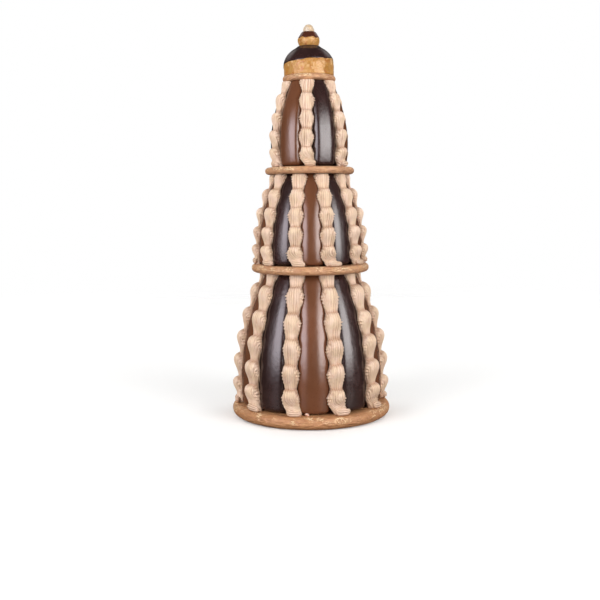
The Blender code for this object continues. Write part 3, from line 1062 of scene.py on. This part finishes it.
SAG = 0.015  # how far it spreads where it settled on its ring, of its radius
SAG_REACH = (0.003, 0.010)  # metres below the waist over which it does
SAG_DROP = 0.0020

# Azimuth in degrees and height of the large glaze's lower edge, where it turns.
LARGE_GLAZE_EDGE = ((-180, 0.3872), (-150, 0.3900), (-112, 0.3880), (-92, 0.3822),
                    (-74, 0.3862), (-40, 0.3872), (-18, 0.3876), (2, 0.3892), (38, 0.3894),
                    (72, 0.3912), (105, 0.3890), (128, 0.3858), (150, 0.3890))


def bun_skin(bun, elevation, azimuth, off=0.0):
    """A point on a bun, or that far off it, at an elevation from its waist."""
    tall = (bun.dome if elevation > 0 else bun.belly) + off
    return at(azimuth, (bun.radius + off) * math.cos(elevation),
              bun.waist + tall * math.sin(elevation))


def crown_of(bun):
    """The elevation from its waist at which a bun is cut off flat."""
    return math.asin(min(1.0, (bun.top - bun.waist) / bun.dome))


def lumps(point, length, seed):
    """Uneven swelling from -1 to 1, with finer lumps on it."""
    spot = point / length + Vector((seed, 0.0, 0.0))
    return noise.noise(spot) + FINE_LUMP * noise.noise(FINE_LUMPS * spot)


def ring_top(ring, reach):
    """Height of a ring's upper side that far from the axis."""
    out = clamp(reach - ring.rim_radius, 0.0, ring.roll_radius)
    return ring.height + math.sqrt(ring.roll_radius ** 2 - out ** 2)


def edge_height(turns, azimuth):
    """Height of a glaze's edge at an azimuth, eased between its turning points."""
    degrees = (math.degrees(azimuth) + 180.0) % 360.0 - 180.0
    closed = (*turns, (turns[0][0] + 360.0, turns[0][1]))
    for (start, low), (end, high) in zip(closed, closed[1:]):
        if start <= degrees <= end:
            return low + (high - low) * smooth(degrees, start, end)
    return turns[0][1]


def crust_of(bun, turns, seed, lump, length, seat=None):
    """The baked bun: inside its glaze, swollen below that, and settled on its ring."""
    first = -math.asin(min(1.0, (bun.waist - bun.bottom) / bun.belly))
    last = crown_of(bun)
    bm = ball(BUN_SIDES, BUN_ROWS)
    for vert in bm.verts:
        share = 1.0 - share_down(vert)
        azimuth = azimuth_of(vert.co)
        flat = min(1.0, share / BUN_CAP, (1.0 - share) / BUN_CAP)
        elevation = first + (last - first) * clamp((share - BUN_CAP) / (1.0 - 2.0 * BUN_CAP))
        point = bun_skin(bun, elevation, azimuth)
        off = lump * (lumps(point, length, seed) - LUMPS_SUNK)
        off *= smooth(elevation - first, *LUMPS_START)
        below = edge_height(turns, azimuth) - point.z
        lip = smooth(below, *LIP_RISE) * (1.0 - smooth(below, *LIP_FALL))
        off += CRUST_LIP * lip * bun.radius
        off -= UNDER_GLAZE * GLAZE_THICKNESS * smooth(-below, *UNDER_START)
        point = bun_skin(bun, elevation, azimuth, off)
        point = Vector((point.x * flat, point.y * flat, min(point.z, bun.top - SKIN_GAP)))
        if seat:
            sag = smooth(bun.waist - point.z, *SAG_REACH)
            point.x *= 1.0 + SAG * sag
            point.y *= 1.0 + SAG * sag
            rest = ring_top(seat, math.hypot(point.x, point.y)) + SKIN_GAP
            point.z = max(point.z - SAG_DROP * sag, rest)
        vert.co = point
    return bm


def glaze_over(bun, turns, collar):
    """A poured cap: its outer skin, a rolled lip, and back up inside the crust."""
    rise, reach = collar
    crown = crown_of(bun)
    bm = ball(BUN_SIDES, BUN_ROWS)
    for vert in bm.verts:
        share = share_down(vert)
        azimuth = azimuth_of(vert.co)
        level = (edge_height(turns, azimuth) - bun.waist) / bun.dome
        edge = math.asin(clamp(level, *EDGE_LIMITS))
        if share < GLAZE_TOP:
            point = bun_skin(bun, crown, azimuth) * (share / GLAZE_TOP)
            point.z = bun.waist + bun.dome * math.sin(crown)
        elif share < GLAZE_SKIN:
            way = (share - GLAZE_TOP) / (GLAZE_SKIN - GLAZE_TOP)
            point = bun_skin(bun, crown + (edge - crown) * way, azimuth)
        elif share < GLAZE_LIP:
            turn = math.pi * (share - GLAZE_SKIN) / (GLAZE_LIP - GLAZE_SKIN)
            off = -LIP_DEPTH * GLAZE_THICKNESS * (1.0 - math.cos(turn))
            point = bun_skin(bun, edge - LIP_HANG * math.sin(turn), azimuth, off)
        else:
            way = (share - GLAZE_LIP) / (1.0 - GLAZE_LIP)
            off = -GLAZE_INSIDE * GLAZE_THICKNESS
            point = bun_skin(bun, edge + (crown - edge) * way, azimuth, off)
            if share > GLAZE_END:
                point.x = point.y = 0.0
        if share < GLAZE_SKIN:
            out = math.hypot(point.x, point.y)
            point.z += rise * (1.0 - smooth(out, COLLAR_EDGE * reach, reach))
        vert.co = point
    bmesh.ops.remove_doubles(bm, verts=bm.verts, dist=1e-7)
    return bm


crust = Finish("choux_crust", Roughness=0.28, Specular_IOR_Level=0.38)
golden = crust.patched(linear(176, 124, 60), linear(188, 140, 80),
                       Scale=120.0, Low=0.4, High=0.6)
golden = crust.patched(golden, linear(172, 110, 56), Scale=180.0, Low=0.50, High=0.70)
golden = crust.patched(golden, linear(222, 182, 130),
                       Scale=190.0, Low=0.55, High=0.74, Detail=3.0)
crust.coloured(golden)
crust.raised(crust.group(GRAIN, Scale=300.0, Fineness=3.0, Fine_share=0.3), 0.0008)

finished("choux_crust_large", crust_of(LARGE, LARGE_GLAZE_EDGE, 4.0, 0.0008, 0.0062, TOP),
         crust.material, "choux", "choux_large")
finished("dark_glaze_large", glaze_over(LARGE, LARGE_GLAZE_EDGE, LARGE_COLLAR), GLAZES["dark"],
         "dark_glaze")

# ------------------------------------------------------------------ small choux
# A second bun, less than half as wide, sits on the glaze of the first. Its own glaze
# is the milk one, thin enough to look reddish, with a scalloped edge.

SMALL_BOTTOM, SMALL_TOP = (corner.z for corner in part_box("choux_small"))
SMALL = Bun(0.0120, 0.4100, 0.0106, 0.0104, SMALL_BOTTOM, SMALL_TOP)
SMALL_COLLAR = (0.0012, 0.0100)
SMALL_EDGE_HEIGHT = 0.4131
SMALL_SCALLOP = 0.0007  # height of the scallops, and how fast they follow one another
SMALL_SCALLOP_RATE = 0.11
SMALL_GLAZE_EDGE = tuple(
    (azimuth, SMALL_EDGE_HEIGHT + SMALL_SCALLOP * math.sin(azimuth * SMALL_SCALLOP_RATE))
    for azimuth in range(-180, 180, 20))

finished("choux_crust_small", crust_of(SMALL, SMALL_GLAZE_EDGE, 9.0, 0.0004, 0.005),
         crust.material, "choux", "choux_small")
thin_glaze = poured_glaze("thin_chocolate_glaze", linear(92, 46, 28), linear(76, 38, 25),
                          linear(68, 33, 22))
finished("milk_glaze_small", glaze_over(SMALL, SMALL_GLAZE_EDGE, SMALL_COLLAR), thin_glaze,
         "milk_glaze")

# -------------------------------------------------------------------- cream tip
# One last button of cream, pressed on with a star nozzle and turned as it was lifted
# off, so that soft ridges wind up to a blunt peak.

TIP_BOTTOM, TIP_TOP = (corner.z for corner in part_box("cream_tip"))
TIP_RADIUS = 0.0061
TIP_WAIST = 0.4208
TIP_RIDGES = 7
TIP_GROOVE = 0.06  # depth of a groove, of the radius
TIP_WIND = 2.2  # how far the ridges wind from foot to peak
TIP_FOOT = 0.35  # 1 is a round foot, less is squarer
TIP_SIDES = 70
TIP_ROWS = 36

bm = ball(TIP_SIDES, TIP_ROWS)
groove = bm.verts.layers.float.new("groove")
for vert in bm.verts:
    elevation = math.asin(clamp(vert.co.z, -1.0))
    azimuth = azimuth_of(vert.co)
    wind = math.sin(TIP_RIDGES * azimuth / 2.0 + TIP_WIND * elevation)
    valley = (1.0 - abs(wind)) ** 2 * math.cos(elevation)
    roundness = TIP_FOOT if elevation < 0.0 else 1.0
    reach = TIP_RADIUS * max(0.0, math.cos(elevation)) ** roundness * (1.0 - TIP_GROOVE * valley)
    tall = TIP_TOP - TIP_WAIST if elevation > 0 else TIP_WAIST - TIP_BOTTOM
    vert.co = at(azimuth, reach, TIP_WAIST + tall * math.sin(elevation))
    vert[groove] = valley
button = Finish("cream_button", Roughness=0.4, Specular_IOR_Level=0.5)
# Painted shade in the grooves of the tip.
pale = button.mixed(linear(208, 192, 174), linear(188, 164, 138),
                    button.both(button.attribute("groove"), 0.6))
button.coloured(button.patched(pale, linear(208, 180, 146), Scale=260.0))
button.raised(button.group(GRAIN, Scale=600.0, Fine_share=0.4), 0.0003)
finished("cream_button", bm, button.material, "cream", "cream_tip")

# ----------------------------------------------------------------- cream crumb
# A crumb of cream that dropped on the base ring beside a foot and was left there.

CRUMB_PLACE = Vector((-0.0050, -0.0768, 0.0150))
CRUMB_RADIUS = 0.0018
CRUMB_LUMP = 0.0009
CRUMB_LUMP_LENGTH = 0.0013
CRUMB_SQUASH = Vector((1.3, 1.0, 0.75))
CRUMB_SIDES = 28
CRUMB_ROWS = 18

bm = ball(CRUMB_SIDES, CRUMB_ROWS, CRUMB_RADIUS)
for vert in bm.verts:
    vert.co += CRUMB_LUMP * noise.noise(vert.co / CRUMB_LUMP_LENGTH) * vert.co.normalized()
    vert.co = vert.co * CRUMB_SQUASH + CRUMB_PLACE
crumb = Finish("cream_crumb", Roughness=0.3, Specular_IOR_Level=0.5)
crumb.coloured(crumb.patched(linear(240, 214, 200), linear(206, 160, 136),
                             Scale=700.0, Low=0.42, High=0.6))
finished("cream_crumb", bm, crumb.material, "cream")
